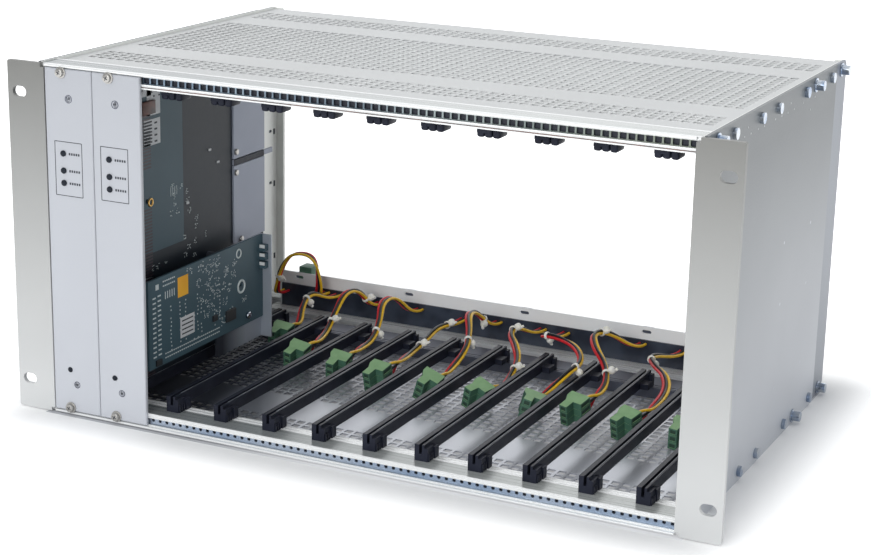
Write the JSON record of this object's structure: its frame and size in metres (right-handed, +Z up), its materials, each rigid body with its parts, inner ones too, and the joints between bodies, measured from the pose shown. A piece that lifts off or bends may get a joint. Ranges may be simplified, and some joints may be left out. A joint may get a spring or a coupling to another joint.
{
  "type": "equipment chassis",
  "caption": "Rack-mounting card cage with perforated covers, card guides, front modules and a wired power feed.",
  "frame": {"origin": "centre of the rack slot pattern, on the rear face of the mounting ears", "axes": "+X to the right across the rack, +Y back into the cage, +Z up; the open front faces -Y"},
  "size_m": [0.4826, 0.2965, 0.231],
  "materials": {
    "side_sheet": "satin",
    "ear_paint": "satin",
    "rail_aluminium": "satin",
    "zinc_steel": "zinc plated",
    "cover_sheet": "satin",
    "white_plate": "satin",
    "green_board": "solder mask",
    "guide_plastic": "matt",
    "panel_finish": "satin",
    "dark_board": "solder mask",
    "bracket_sheet": "satin",
    "shield_paint": "satin",
    "tie_nylon": "matt",
    "plug_green": "matt",
    "wire_yellow": "gloss",
    "wire_black": "gloss",
    "wire_red": "gloss"
  },
  "bodies": {
    "root": {"side_panel_left": "side_sheet", "side_panel_right": "side_sheet", "mounting_ear_left": "ear_paint", "mounting_ear_right": "ear_paint", "front_rail_top": "rail_aluminium", "front_rail_bottom": "rail_aluminium", "middle_rail_top": "rail_aluminium", "middle_rail_bottom": "rail_aluminium", "rear_rail_top": "rail_aluminium", "rear_rail_bottom": "rail_aluminium", "threaded_strips": "zinc_steel", "captive_screws": "zinc_steel", "rail_screws": "zinc_steel", "cover_screws": "zinc_steel", "top_cover": "cover_sheet", "bottom_cover": "cover_sheet", "rear_mounting_plate": "white_plate", "power_board": "green_board", "card_guide_bottom_01": "guide_plastic", "card_guide_bottom_02": "guide_plastic", "card_guide_bottom_03": "guide_plastic", "card_guide_bottom_04": "guide_plastic", "card_guide_bottom_05": "guide_plastic", "card_guide_bottom_06": "guide_plastic", "card_guide_bottom_07": "guide_plastic", "card_guide_bottom_08": "guide_plastic", "card_guide_bottom_09": "guide_plastic", "card_guide_bottom_10": "guide_plastic", "card_guide_bottom_11": "guide_plastic", "card_guide_bottom_12": "guide_plastic", "card_guides_top": "guide_plastic", "module_panel_1": "panel_finish", "module_panel_2": "panel_finish", "module_board_1": "dark_board", "module_board_2": "dark_board", "daughter_board": "dark_board", "board_bracket": "bracket_sheet", "rear_shield_plates": "shield_paint", "cable_ties": "tie_nylon", "plug_0": "plug_green", "plug_1": "plug_green", "plug_2": "plug_green", "plug_3": "plug_green", "plug_4": "plug_green", "plug_5": "plug_green", "plug_6": "plug_green", "plug_7": "plug_green", "plug_8": "plug_green", "plug_9": "plug_green", "harness_drop_0": "wire_yellow", "harness_drop_1": "wire_yellow", "harness_drop_2": "wire_yellow", "harness_drop_3": "wire_yellow", "harness_drop_4": "wire_yellow", "harness_drop_5": "wire_yellow", "harness_drop_6": "wire_yellow", "harness_drop_7": "wire_yellow", "harness_drop_8": "wire_black", "harness_drop_9": "wire_red", "harness_feed": "wire_red"}
  },
  "joints": []
}
